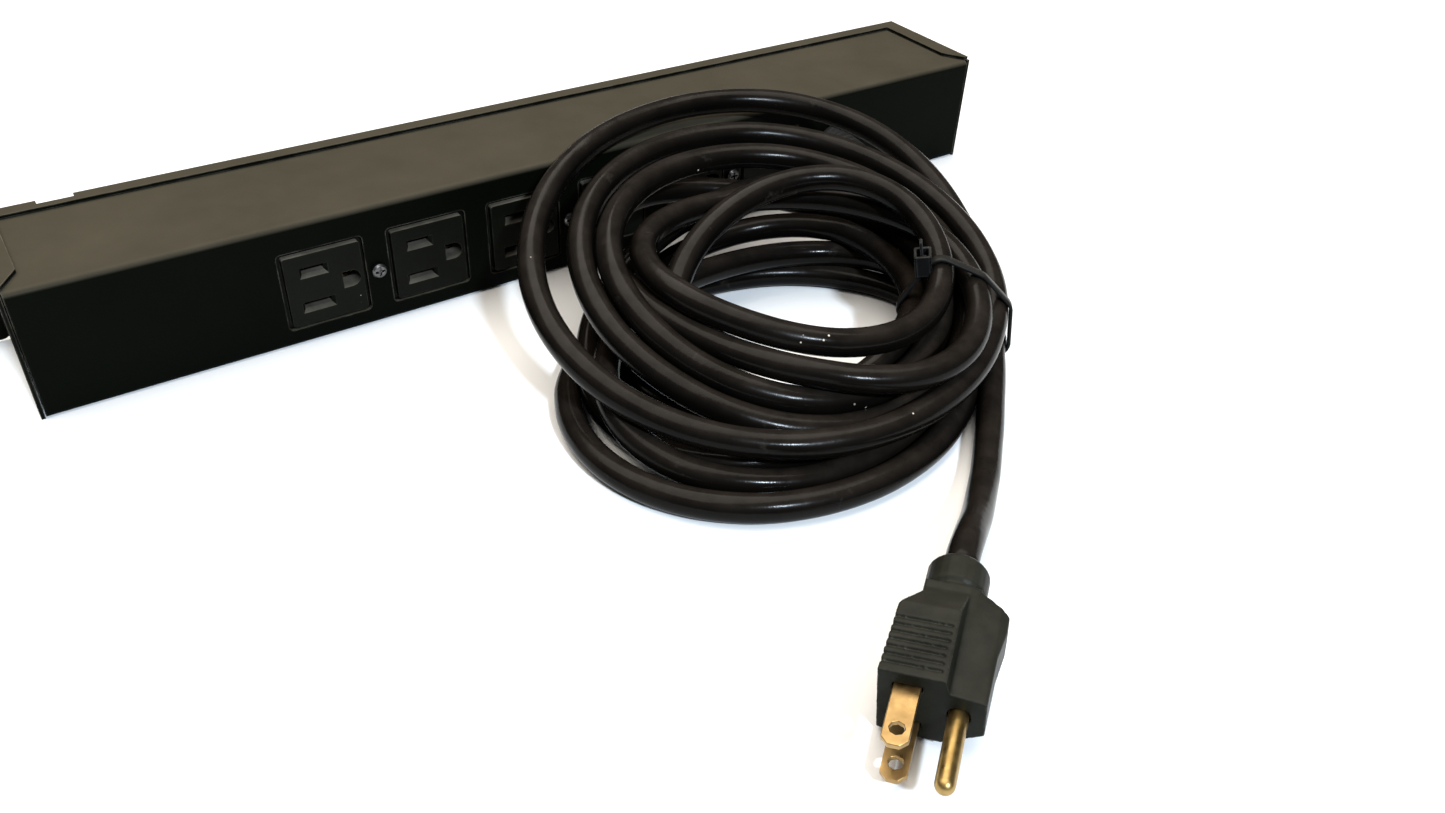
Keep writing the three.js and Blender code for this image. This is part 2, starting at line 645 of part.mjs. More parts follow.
function groundPin() {
  const arcSteps = 5;
  const profile = [
    new THREE.Vector2(0, -SOCKET_DEPTH), new THREE.Vector2(PIN_RADIUS, -SOCKET_DEPTH),
  ];
  for (let i = 0; i < arcSteps; i += 1) {
    const angle = (i / arcSteps) * Math.PI / 2;
    profile.push(new THREE.Vector2(
      PIN_RADIUS * Math.cos(angle), PIN_LENGTH - PIN_RADIUS * (1 - Math.sin(angle))));
  }
  profile.push(new THREE.Vector2(0, PIN_LENGTH));
  const geometry = new THREE.LatheGeometry(profile, 20);
  geometry.rotateZ(-Math.PI / 2);
  geometry.translate(0, GROUND_OFFSET, 0);
  return solid(geometry);
}

// The body is what three outlines share: seen from above, from the blades' end and from the
// side. The neck's collar is added to its cord end.
function plugBody() {
  const t = PLUG_HALF_THICKNESS;
  const plan = outline([
    [0, -7], [0, 18], [-15, 18.4], [-25.5, 19.8], [-28.5, 19.5], [-33, NECK_Y + 7],
    [-34, NECK_Y + 7], [-34, NECK_Y - 7], [-29, NECK_Y - 7], [-21, -6.2],
  ]);
  const end = outline([
    [-7.4, -t + 1], [8, -t], [17.5, -5.5], [19.5, -4], [19.5, 4.5], [17.5, 6], [9.6, 7],
    [8.6, t], [-7.4, t],
  ]);
  const side = outline([
    [0, -t], [0, t], [-22, t], [-31, 7.2], [-34, 7.2], [-34, -7.2], [-31, -7.2], [-22, -t],
  ]);
  const planSolid = extrude(plan, 2 * t);
  planSolid.translate(0, 0, -t);
  const collar = 8;
  const collarProfile = [
    [0, 0], [collar - 1.4, 0], [collar, 1.8], [collar, 9], [collar - 1, 10.5],
    [collar - 1, 15], [0, 15],
  ];
  const neck = new THREE.LatheGeometry(
    collarProfile.map(([r, y]) => new THREE.Vector2(r, y)), 24);
  neck.rotateZ(-Math.PI / 2);
  neck.translate(NECK_END, NECK_Y, 0);
  let body = solid(planSolid)
    .intersect(extrudeX(end, -40, 0))
    .intersect(extrudeY(side, -20, 30))
    .add(solid(neck));
  for (let rib = 0; rib < RIBS; rib += 1) {
    const x = FIRST_RIB_X + rib * RIB_PITCH;
    const groove = (y1, z0, z1) => block(x, x + RIB_WIDTH, -10, y1, z0, z1);
    body = body
      .subtract(groove(RIB_END_Y, t - RIB_DEPTH, t + 1))
      .subtract(groove(RIB_END_Y, -t - 1, -t + RIB_DEPTH))
      .subtract(groove(-7 + RIB_DEPTH, -t, t));
  }
  const socketEnd = -SOCKET_DEPTH - GAP;
  const halfWidth = BLADE_HALF_WIDTH + GAP;
  const halfThickness = BLADE_THICKNESS / 2 + GAP;
  for (const z of [slotTop, -slotTop]) {
    body = body.subtract(block(socketEnd, 1, -halfWidth, halfWidth,
      z - halfThickness, z + halfThickness));
  }
  const pinSocket = new THREE.CylinderGeometry(
    PIN_RADIUS + GAP, PIN_RADIUS + GAP, 1 - socketEnd, 24);
  pinSocket.rotateZ(Math.PI / 2);
  pinSocket.translate((1 + socketEnd) / 2, GROUND_OFFSET, 0);
  return body.subtract(solid(pinSocket));
}

addPiece('plug_body', plugBody(), blackPlastic, plug);
addPiece('plug_live_blade', plugBlade(slotTop), brass, plug);
addPiece('plug_neutral_blade', plugBlade(-slotTop), brass, plug);
addPiece('plug_ground_pin', groundPin(), brass, plug);

export default strip;
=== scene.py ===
"""Looks for the six-outlet metal power strip with its coiled mains cord and grounded plug.

Everything is in metres, in the CAD model's own frame: X along the housing, the outlets facing
-Y, Z up from the surface that the strip lies on.
"""

import math

import bmesh
import bpy
import numpy as np
from mathutils import Matrix, Vector


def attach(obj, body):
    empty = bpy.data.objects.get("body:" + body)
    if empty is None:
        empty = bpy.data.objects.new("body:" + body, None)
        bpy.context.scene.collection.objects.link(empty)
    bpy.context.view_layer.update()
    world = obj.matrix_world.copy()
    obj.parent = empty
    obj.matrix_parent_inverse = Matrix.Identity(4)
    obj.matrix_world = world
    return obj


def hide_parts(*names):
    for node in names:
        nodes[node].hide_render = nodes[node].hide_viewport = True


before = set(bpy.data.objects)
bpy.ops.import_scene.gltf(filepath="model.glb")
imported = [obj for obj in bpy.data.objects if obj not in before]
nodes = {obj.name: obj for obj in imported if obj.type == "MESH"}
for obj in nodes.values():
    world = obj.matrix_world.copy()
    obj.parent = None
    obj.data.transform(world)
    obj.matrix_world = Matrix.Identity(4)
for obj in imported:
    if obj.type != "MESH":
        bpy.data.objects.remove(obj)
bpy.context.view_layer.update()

# ---- sizes ---------------------------------------------------------------------------------
CORD_DIAMETER = 0.009
CORD_RADIUS = CORD_DIAMETER / 2
CORD_SIDES = 20
FRONT = -0.026                 # the housing's front face
TOP = 0.044                    # its top panel
FACE_ROOM = 0.002              # the cord keeps this far off the outlets' faces
EXIT = (0.115, -0.0513, 0.022)  # where the cord leaves the strain relief

RECEPTACLES = (1, 2, 3)
COVER_SCREWS = (1, 2, 3, 4)

TIE_ANGLE = math.radians(-38)  # each turn starts here, and the turns are gathered here
BUNDLE_CENTRE = np.array([0.026, -0.108])
STRAP_ANGLE = math.radians(-42)
TIE_WIDTH = 0.0036
TIE_THICKNESS = 0.0011

# ---- camera --------------------------------------------------------------------------------
# Its place, lens and directions were solved from the straight edges in the photo.
camera_data = bpy.data.cameras.new("camera")
camera_data.sensor_fit = "HORIZONTAL"
camera_data.sensor_width = 36
camera_data.lens = 29.41
camera_data.clip_start = 0.01
camera = bpy.data.objects.new("camera", camera_data)
right = Vector((0.82018, -0.57026, 0.04590))
down = Vector((-0.31387, -0.51560, -0.79727))
forward = Vector((0.47832, 0.63950, -0.60187))
camera.matrix_world = Matrix.Translation((-0.19066, -0.37002, 0.22810)) @ Matrix(
    (right, -down, -forward)).transposed().to_4x4()
bpy.context.scene.collection.objects.link(camera)
bpy.context.scene.camera = camera

# ---- the cord's route ------------------------------------------------------------------------
LEAD_ROUTE = [
    EXIT, (0.115, -0.055, 0.0218), (0.115, -0.060, 0.0208),
    (0.1147, -0.066, 0.0188), (0.114, -0.073, 0.016), (0.1125, -0.080, 0.013),
    (0.110, -0.088, 0.0102), (0.1065, -0.096, 0.0082), (0.1015, -0.107, 0.007),
    (0.095, -0.1195, 0.0064), (0.0865, -0.1315, 0.0058),
]
TAIL_ROUTE = [
    (0.084, -0.1505, 0.0132), (0.0812, -0.1544, 0.0118), (0.078, -0.1587, 0.010),
    (0.0743, -0.1632, 0.0084), (0.0695, -0.1683, 0.007), (0.064, -0.1737, 0.0059),
    (0.0585, -0.179, 0.0053), (0.053, -0.1844, 0.0049), (0.0472, -0.1896, 0.00475),
    (0.0413, -0.1948, 0.0047), (0.0354, -0.200, 0.00485), (0.0292, -0.205, 0.0054),
    (0.0225, -0.2103, 0.0068), (0.0153, -0.2157, 0.0089), (0.008, -0.2207, 0.0117),
    (0.0016, -0.2251, 0.014), (-0.0039, -0.2289, 0.0151), (-0.0088, -0.2327, 0.0151),
]
# One row a turn, from the first to the last: middle x and y, half width, half depth, slant,
# and the height of the cord at the turn's right, back, left and front, in millimetres.
TURNS = [
    (12, -127, 73, 58.5, 4, 5, 4.6, 4.6, 4.6),
    (19, -127, 73, 53, 3, 14, 14, 9, 5.5),
    (21.5, -112, 72.5, 54, 7, 23, 27, 9, 5),
    (21, -103, 57, 43, 5, 18, 15, 8, 6),
    (27, -120, 56, 38, 5, 42, 44, 24, 14),
    (32, -115.5, 57, 47.5, -6, 34, 36, 38, 29),
    (32, -109.5, 57, 70.5, -8, 25, 31, 33, 21),
    (28, -110.5, 60, 59.5, 0, 34, 45, 33, 14),
    (30, -106.5, 70.5, 68.5, 1, 33, 47, 32, 13),
    (26.5, -96.8, 83, 77.2, 6, 39, 49.5, 30, 14),
]
# Where each pass lies in the tied bundle: distance out from the bundle's centre, and height.
TIED_PASSES = [
    (73, 4.7), (64, 4.7), (55, 4.7), (60, 12.6), (50.5, 13), (51, 34), (60.5, 32),
    (54, 23.5), (63.5, 23), (72.5, 22.4), (71.8, 13.2),
]
STEPS_A_TURN = 30
TURN_BLEND = 0.13              # share of a turn over which it runs into the next
TIE_REACH = 0.16               # share of a turn that the tie pulls in, on each side
SAMPLES_A_SPAN = 10            # of a smooth curve, between two points of a route
SETTLE_SPACING = 0.006
SETTLE_ROUNDS = 160
SHAPE_KEPT = 0.02              # how strongly a round draws the cord back to its route
SHAPE_RELEASED = 0.7           # share of that pull that is gone by the last round
STIFFNESS = 0.15
EVENING = 0.2                  # how strongly a round evens out the points' spacing
PASS_SPACING = CORD_DIAMETER * 1.012
OVER_PUSH = 1.5                # touching passes are pushed apart this many times their overlap
CONTACT_ROUNDS = 2             # rounds of pushing apart in each round of settling
FLOOR_ROOM = 0.00005
FIXED_LEAD_POINTS = 6          # points of the lead's route that settling leaves alone
LINE_SPACING = 0.003
TINY = 1e-12


def ease(t):
    """Goes smoothly from 0 to 1."""
    t = min(max(t, 0.0), 1.0)
    return t * t * (3 - 2 * t)


def turn_shape(turn):
    """The row of TURNS at a place along the coil, run together where two turns meet."""
    rows = np.array(TURNS, float) / 1000
    index = min(int(turn), len(rows) - 1)
    share = turn - index
    if share < TURN_BLEND and index > 0:
        w = ease(0.5 + share / (2 * TURN_BLEND))
        return rows[index - 1] * (1 - w) + rows[index] * w
    if share > 1 - TURN_BLEND and index < len(rows) - 1:
        w = ease(0.5 - (1 - share) / (2 * TURN_BLEND))
        return rows[index] * (1 - w) + rows[index + 1] * w
    return rows[index]


def turn_point(turn):
    """The untied coil's middle line: an ellipse with its own height on each of four sides."""
    x, y, width, depth, slant, z_right, z_back, z_left, z_front = turn_shape(turn)
    angle = TIE_ANGLE - 2 * math.pi * turn
    c, s = math.cos(angle), math.sin(angle)
    mean = (z_right + z_back + z_left + z_front) / 4
    saddle = (z_right + z_left - z_back - z_front) / 4
    height = (mean + (z_right - z_left) / 2 * c + (z_back - z_front) / 2 * s
              + saddle * math.cos(2 * angle))
    return x + width * c + slant * s, y + depth * s + slant * c, height


def coil_points():
    """All the turns, each pulled to its place in the bundle where it passes the tie."""
    count = len(TURNS) * STEPS_A_TURN
    free = np.array([turn_point(i / STEPS_A_TURN) for i in range(count + 1)])
    points = free.copy()
    outward = np.array([math.cos(TIE_ANGLE), math.sin(TIE_ANGLE)])
    reach = TIE_REACH * STEPS_A_TURN
    for number, (out, height) in enumerate(TIED_PASSES):
        middle = number * STEPS_A_TURN
        place = BUNDLE_CENTRE + outward * out / 1000
        pull = np.array([*place, height / 1000]) - free[middle]
        first = max(0, math.ceil(middle - reach))
        last = min(count, int(middle + reach))
        for i in range(first, last + 1):
            points[i] = free[i] + pull * (0.5 + 0.5 * math.cos(math.pi * (i - middle) / reach))
    return points


def evenly(points, spacing):
    """Points on the same line, an even distance apart."""
    steps = np.linalg.norm(np.diff(points, axis=0), axis=1)
    along = np.r_[0, np.cumsum(steps)]
    wanted = np.linspace(0, along[-1], int(round(along[-1] / spacing)) + 1)
    return np.stack([np.interp(wanted, along, points[:, k]) for k in range(3)], 1)


def smooth_line(points, spacing):
    """A Catmull-Rom curve through the points, with points an even distance apart."""
    points = np.asarray(points, float)
    ends = np.vstack([2 * points[0] - points[1], points, 2 * points[-1] - points[-2]])
    line = []
    for a, b, c, d in zip(ends, ends[1:], ends[2:], ends[3:]):
        for t in np.linspace(0, 1, SAMPLES_A_SPAN, endpoint=False):
            line.append(0.5 * (2 * b + (c - a) * t + (2 * a - 5 * b + 4 * c - d) * t ** 2
                               + (3 * b - a - 3 * c + d) * t ** 3))
    line.append(points[-1])
    return evenly(np.array(line), spacing)


def line_length(points):
    return float(np.linalg.norm(np.diff(points, axis=0), axis=1).sum())


def keep_off_housing(points):
    """Moves what is inside the housing, or closer than the jacket allows, out against it."""
    wall = FRONT - FACE_ROOM
    nearest = np.stack([np.maximum(points[:, 1], wall), np.minimum(points[:, 2], TOP)], 1)
    away = points[:, 1:] - nearest
    distance = np.linalg.norm(away, axis=1)
    touching = (distance > TINY) & (distance < CORD_RADIUS)
    against = away[touching] / distance[touching, None] * CORD_RADIUS
    points[touching, 1:] = nearest[touching] + against
    inside = distance <= TINY
    nearer_front = points[:, 1] - wall < TOP - points[:, 2]
    points[inside & nearer_front, 1] = wall - CORD_RADIUS
    points[inside & ~nearer_front, 2] = TOP + CORD_RADIUS


def stiffen(points):
    """Evens out the bending over one, two and three steps, as a stiff jacket does."""
    for s in (1, 2, 3):
        bend = np.zeros_like(points)
        bend[s:-s] = (points[:-2 * s] + points[2 * s:]) / 2 - points[s:-s]
        change = np.zeros_like(points)
        change[2 * s:-2 * s] = (bend[s:-3 * s] + bend[3 * s:-s]) / 2 - bend[2 * s:-2 * s]
        points -= STIFFNESS * change


def part_turns(points, first, second):
    """Pushes passes of the cord that are closer than PASS_SPACING away from each other."""
    gap = points[first] - points[second]
    distance = np.linalg.norm(gap, axis=1)
    close = distance < PASS_SPACING
    if not close.any():
        return
    i, j = first[close], second[close]
    overlap = PASS_SPACING - distance[close]
    push = gap[close] * (overlap / (distance[close] + TINY) / 2)[:, None]
    moved = np.zeros_like(points)
    times = np.zeros(len(points))
    np.add.at(moved, i, push)
    np.add.at(moved, j, -push)
    np.add.at(times, i, 1)
    np.add.at(times, j, 1)
    points += moved / times.clip(1)[:, None] * OVER_PUSH


def settle(points, fixed):
    """Lays the wound cord down: stiff, and pushed out of itself, the floor and the housing.

    The fixed points stay where they are, so a pass beside them can still press into them.
    """
    start = points.copy()
    points = points.copy()
    skip = math.ceil(2.2 * CORD_DIAMETER / SETTLE_SPACING)
    first, second = np.triu_indices(len(points), skip)
    for step in range(SETTLE_ROUNDS):
        points += (start - points) * SHAPE_KEPT * (1 - SHAPE_RELEASED * step / SETTLE_ROUNDS)
        stiffen(points)
        part = points[1:] - points[:-1]
        size = np.linalg.norm(part, axis=1, keepdims=True)
        even = (size - size.mean()) / size * part * EVENING
        points[:-1] += even
        points[1:] -= even
        for _ in range(CONTACT_ROUNDS):
            part_turns(points, first, second)
            points[:, 2] = np.maximum(points[:, 2], CORD_RADIUS + FLOOR_ROOM)
            keep_off_housing(points)
        points[fixed] = start[fixed]
    return points


def cord_line():
    """The cord's middle line, from the strain relief through the coil to the plug."""
    wound = coil_points()
    route = smooth_line(np.vstack([LEAD_ROUTE, wound[1:-2], TAIL_ROUTE]), SETTLE_SPACING)
    fixed = np.zeros(len(route), bool)
    fixed[:round(line_length(np.array(LEAD_ROUTE[:FIXED_LEAD_POINTS])) / SETTLE_SPACING)] = True
    fixed[1 - round(line_length(np.array(TAIL_ROUTE)) / SETTLE_SPACING):] = True
    return smooth_line(settle(route, fixed), LINE_SPACING)


# ---- mesh helpers ------------------------------------------------------------------------------
JACKET_SWELL = 0.006           # how much the jacket's radius wanders, as a share of it
SWELL_STEPS = 40               # points of the line from one swelling to the next
CORE_LAY = 0.11                # length in which the three cores turn once round
CORE_SHOW = 0.007              # how far they show through the jacket, as a share of its radius
EDGE_ANGLE = math.radians(25)  # edges sharper than this are rounded
EDGE_SEGMENTS = 2
LATHE_SIDES = 48


def add_object(name, mesh):
    piece = bpy.data.objects.new(name, mesh)
    bpy.context.scene.collection.objects.link(piece)
    return piece


def smooth_shaded(mesh):
    mesh.polygons.foreach_set("use_smooth", [True] * len(mesh.polygons))


def mesh_piece(name, vertices, faces):
    mesh = bpy.data.meshes.new(name)
    mesh.from_pydata([tuple(v) for v in vertices], [], faces)
    mesh.validate()
    smooth_shaded(mesh)
    return add_object(name, mesh)


def sweep_frames(points):
    """A direction along the line and two across it at each point, without twist."""
    points = np.asarray(points, float)
    along = np.gradient(points, axis=0)
    along /= np.linalg.norm(along, axis=1, keepdims=True)
    side = np.cross(along[0], (0, 0, 1))
    side /= np.linalg.norm(side)
    sides = []
    for direction in along:
        side = side - direction * side.dot(direction)
        side /= np.linalg.norm(side)
        sides.append(side)
    sides = np.array(sides)
    return along, sides, np.cross(along, sides)


def cord_mesh(name, points):
    """The jacket: round, with the slow lay of the three cores just showing through it."""
    along, sides, ups = sweep_frames(points)
    rng = np.random.default_rng(7)
    places = np.arange(0, len(points) + SWELL_STEPS, SWELL_STEPS)
    sizes = rng.normal(0, JACKET_SWELL, len(points) // SWELL_STEPS + 2)
    swell = np.interp(np.arange(len(points)), places, sizes)
    vertices = []
    for n, centre in enumerate(points):
        lay = 2 * math.pi * n * LINE_SPACING / CORE_LAY
        for k in range(CORD_SIDES):
            angle = 2 * math.pi * k / CORD_SIDES
            radius = CORD_RADIUS * (1 + swell[n] + CORE_SHOW * math.cos(3 * (angle - lay)))
            vertices.append(centre + radius * (math.cos(angle) * sides[n]
                                               + math.sin(angle) * ups[n]))
    faces = [tuple(reversed(range(CORD_SIDES)))]
    for n in range(len(points) - 1):
        for k in range(CORD_SIDES):
            a, b = n * CORD_SIDES + k, n * CORD_SIDES + (k + 1) % CORD_SIDES
            faces.append((a, b, b + CORD_SIDES, a + CORD_SIDES))
    last = (len(points) - 1) * CORD_SIDES
    faces.append(tuple(range(last, last + CORD_SIDES)))
    return mesh_piece(name, vertices, faces)


def lathe_piece(name, profile, matrix):
    """A profile of (distance along, radius) turned round the matrix's X axis."""
    vertices, faces = [], []
    for x, radius in profile:
        for k in range(LATHE_SIDES):
            angle = 2 * math.pi * k / LATHE_SIDES
            spot = Vector((x, radius * math.cos(angle), radius * math.sin(angle)))
            vertices.append(matrix @ spot)
    for n in range(len(profile) - 1):
        for k in range(LATHE_SIDES):
            a, b = n * LATHE_SIDES + k, n * LATHE_SIDES + (k + 1) % LATHE_SIDES
            faces.append((a, b, b + LATHE_SIDES, a + LATHE_SIDES))
    faces.append(tuple(reversed(range(LATHE_SIDES))))
    last = (len(profile) - 1) * LATHE_SIDES
    faces.append(tuple(range(last, last + LATHE_SIDES)))
    return mesh_piece(name, vertices, faces)


def cad_copy(node, name):
    """A copy of a CAD node, without its triangles' flat edges, shown in its place."""
    mesh = nodes[node].data.copy()
    mesh.materials.clear()
    work = bmesh.new()
    work.from_mesh(mesh)
    bmesh.ops.remove_doubles(work, verts=work.verts, dist=0.00001)
    bmesh.ops.dissolve_limit(work, angle_limit=math.radians(1), verts=work.verts,
                             edges=work.edges)
    work.to_mesh(mesh)
    work.free()
    smooth_shaded(mesh)
    piece = add_object(name, mesh)
    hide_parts(node)
    return piece


def round_edges(piece, width):
    bevel = piece.modifiers.new("rounded_edges", "BEVEL")
    bevel.width = width
    bevel.segments = EDGE_SEGMENTS
    return bevel


def softened(node, name, width):
    """A copy of a CAD node with small rounded edges."""
    piece = cad_copy(node, name)
    bevel = round_edges(piece, width)
    bevel.limit_method = "ANGLE"
    bevel.angle_limit = EDGE_ANGLE
    normals = piece.modifiers.new("normals", "WEIGHTED_NORMAL")
    normals.keep_sharp = True
    return piece


def apply_modifiers(piece):
    """Turns what the modifiers show into the piece's own mesh."""
    graph = bpy.context.evaluated_depsgraph_get()
    mesh = bpy.data.meshes.new_from_object(piece.evaluated_get(graph))
    piece.modifiers.clear()
    piece.data = mesh


# ---- materials ---------------------------------------------------------------------------------
class Surface:
    """Builds one Principled material. Lengths are in metres, and scales are per metre."""

    def __init__(self, name, roughness, metallic=0.0, specular=0.5):
        self.material = bpy.data.materials.new(name)
        self.material.use_nodes = True
        self.tree = self.material.node_tree
        self.tree.nodes.clear()
        self.output = self.tree.nodes.new("ShaderNodeOutputMaterial")
        self.shader = self.tree.nodes.new("ShaderNodeBsdfPrincipled")
        self.shader.inputs["Metallic"].default_value = metallic
        self.shader.inputs["Specular IOR Level"].default_value = specular
        self.link(self.shader.outputs["BSDF"], self.output.inputs["Surface"])
        self.coordinates = self.node("ShaderNodeTexCoord").outputs["Object"]
        self.roughness = roughness
        self.normal = None

    def node(self, kind, **settings):
        made = self.tree.nodes.new(kind)
        for key, value in settings.items():
            setattr(made, key, value)
        return made

    def link(self, source, target):
        self.tree.links.new(source, target)

    def noise(self, scale, detail=4, roughness=0.6, stretch=(1, 1, 1)):
        mapping = self.node("ShaderNodeMapping")
        mapping.inputs["Scale"].default_value = stretch
        self.link(self.coordinates, mapping.inputs["Vector"])
        texture = self.node("ShaderNodeTexNoise")
        texture.inputs["Scale"].default_value = scale
        texture.inputs["Detail"].default_value = detail
        texture.inputs["Roughness"].default_value = roughness
        self.link(mapping.outputs["Vector"], texture.inputs["Vector"])
        return texture.outputs["Fac"]

    def remap(self, value, low, high, new_low=0.0, new_high=1.0):
        ranged = self.node("ShaderNodeMapRange", clamp=True)
        for key, number in zip(("From Min", "From Max", "To Min", "To Max"),
                               (low, high, new_low, new_high)):
            ranged.inputs[key].default_value = number
        self.link(value, ranged.inputs["Value"])
        return ranged.outputs["Result"]

    def times(self, a, b):
        product = self.node("ShaderNodeMath", operation="MULTIPLY")
        self.link(a, product.inputs[0])
        self.link(b, product.inputs[1])
        return product.outputs["Value"]

    def mix(self, share, a, b):
        """Mixes two colours, each a socket or an (r, g, b), by a socket from 0 to 1."""
        mixed = self.node("ShaderNodeMix", data_type="RGBA")
        self.link(share, mixed.inputs["Factor"])
        for colour, socket in ((a, mixed.inputs["A"]), (b, mixed.inputs["B"])):
            if isinstance(colour, tuple):
                socket.default_value = (*colour, 1)
            else:
                self.link(colour, socket)
        return mixed.outputs["Result"]

    def edges(self, radius):
        """1 near edges and corners, 0 on flat areas."""
        rounded = self.node("ShaderNodeBevel", samples=4)
        rounded.inputs["Radius"].default_value = radius
        geometry = self.node("ShaderNodeNewGeometry")
        dot = self.node("ShaderNodeVectorMath", operation="DOT_PRODUCT")
        self.link(rounded.outputs["Normal"], dot.inputs[0])
        self.link(geometry.outputs["Normal"], dot.inputs[1])
        return self.remap(dot.outputs["Value"], 0.985, 0.88)

    def facing_up(self):
        geometry = self.node("ShaderNodeNewGeometry")
        parts = self.node("ShaderNodeSeparateXYZ")
        self.link(geometry.outputs["Normal"], parts.inputs["Vector"])
        return self.remap(parts.outputs["Z"], 0.2, 0.95)

    def specks(self, scale, size):
        """Small sparse dots."""
        cells = self.node("ShaderNodeTexVoronoi")
        cells.inputs["Scale"].default_value = scale
        self.link(self.coordinates, cells.inputs["Vector"])
        dot = self.remap(cells.outputs["Distance"], size, size * 0.6)
        patch = self.remap(self.noise(scale * 0.11, detail=1), 0.66, 0.70)
        return self.times(dot, patch)

    def bump(self, height, strength, distance):
        bump = self.node("ShaderNodeBump")
        bump.inputs["Strength"].default_value = strength
        bump.inputs["Distance"].default_value = distance
        self.link(height, bump.inputs["Height"])
        if self.normal is not None:
            self.link(self.normal, bump.inputs["Normal"])
        self.normal = bump.outputs["Normal"]

    def finish(self, colour, rough_source, spread):
        self.link(colour, self.shader.inputs["Base Color"])
        rough = self.remap(rough_source, 0.3, 0.7, self.roughness - spread,
                           self.roughness + spread)
        self.link(rough, self.shader.inputs["Roughness"])
        if self.normal is not None:
            self.link(self.normal, self.shader.inputs["Normal"])
        return self.material


def painted_steel(name, colour, dust_and_top_light_share):
    """Satin paint with faint orange peel, rubbed edges, fine scratches, dust and painted top light."""
    rubbed_metal = (0.075, 0.068, 0.055)
    dust_and_top_light_colour = (0.30, 0.255, 0.18)
    s = Surface(name, 0.40, specular=0.015)
    broad = s.noise(14)
    fine = s.noise(900, detail=2)
    base = s.mix(s.remap(broad, 0.35, 0.7), colour, tuple(c * 1.45 for c in colour))
    scratch = s.remap(s.noise(60, detail=6, stretch=(1, 9, 9)), 0.66, 0.72)
    base = s.mix(s.times(scratch, s.remap(broad, 0.45, 0.6, 0, 0.5)), base,
                 tuple(c * 3.2 for c in colour))
    wear = s.times(s.edges(0.0007), s.remap(s.noise(120), 0.42, 0.6, 0.25, 1))
    base = s.mix(wear, base, rubbed_metal)
    # Pale brown on up-facing surfaces: dust, and painted top light that makes the top panel paler than
    # the front.
    dust_and_top_light = s.times(s.facing_up(), s.remap(s.noise(35, detail=8), 0.3, 0.8, dust_and_top_light_share * 0.75, dust_and_top_light_share))
    base = s.mix(dust_and_top_light, base, dust_and_top_light_colour)
    s.bump(fine, 0.12, 0.0002)
    s.bump(s.noise(240, detail=3), 0.1, 0.0003)
    return s.finish(base, s.noise(50), 0.08)


def moulded(name, colour, roughness, grain=1400, edge_colour=(0.10, 0.10, 0.10), dust_and_top_light_share=0.05):
    """Moulded plastic or rubber: fine grain, paler edges, dust and painted light on top, and specks."""
    dust_and_top_light_colour = (0.35, 0.31, 0.25)
    speck_colour = (0.5, 0.47, 0.40)
    s = Surface(name, roughness, specular=0.06)
    base = s.mix(s.remap(s.noise(40), 0.35, 0.7), colour, tuple(c * 1.7 for c in colour))
    # A paler colour along the edges.
    paler_edges = s.times(s.edges(0.0005), s.remap(s.noise(220), 0.4, 0.62, 0.15, 0.9))
    base = s.mix(paler_edges, base, edge_colour)
    # Pale colour on up-facing surfaces: dust, and painted top light; on the outlets' faces it paints
    # light on the slots' up-facing slopes.
    dust_and_top_light = s.times(s.facing_up(), s.remap(s.noise(90, detail=8), 0.3, 0.7, dust_and_top_light_share * 0.3, dust_and_top_light_share))
    base = s.mix(dust_and_top_light, base, dust_and_top_light_colour)
    base = s.mix(s.specks(420, 0.1), base, speck_colour)
    s.bump(s.noise(grain, detail=2), 0.15, 0.0002)
    return s.finish(base, s.noise(70), 0.07)


def cord_jacket():
    """Smooth vinyl, faintly uneven, with dust and painted light on its upper side, scuffs and a few pale
    specks.
    """
    dark, pale = (0.0016, 0.0014, 0.0012), (0.0042, 0.0034, 0.0028)
    dust_and_top_light_colour = (0.26, 0.20, 0.155)
    scuff_colour = (0.06, 0.053, 0.045)
    speck_colour = (0.55, 0.50, 0.40)
    s = Surface("cord_jacket", 0.20, specular=0.075)
    base = s.mix(s.remap(s.noise(22, detail=5), 0.35, 0.7), dark, pale)
    # Warm pale colour on the upper side: dust, and painted top light on the cord's tops.
    upper = s.facing_up()
    dust_and_top_light = s.times(s.times(upper, upper),
                      s.remap(s.noise(130, detail=8), 0.35, 0.75, 0.02, 0.060))
    base = s.mix(dust_and_top_light, base, dust_and_top_light_colour)
    scuff = s.remap(s.noise(75, detail=9, roughness=0.7), 0.64, 0.72, 0, 0.25)
    base = s.mix(scuff, base, scuff_colour)
    base = s.mix(s.specks(190, 0.075), base, speck_colour)
    s.bump(s.noise(160, detail=4), 0.16, 0.0006)
    s.bump(s.noise(1300, detail=2), 0.08, 0.0001)
    return s.finish(base, s.noise(45, detail=6), 0.09)


def plated(name, colour, roughness, tarnish):
    """Bare metal with a fine grain, tarnish in patches and bright edges."""
    s = Surface(name, roughness, metallic=1.0)
    base = s.mix(s.remap(s.noise(180, detail=6), 0.42, 0.68), colour, tarnish)
    base = s.mix(s.edges(0.0004), base, tuple(min(1.0, c * 1.25) for c in colour))
    s.bump(s.noise(700, detail=3), 0.10, 0.00005)
    return s.finish(base, s.noise(260, detail=5), 0.12)


paint = painted_steel("shell_paint", (0.0013, 0.0018, 0.0011), 0.20)
tray_paint = painted_steel("tray_paint", (0.0018, 0.0022, 0.0014), 0.20)
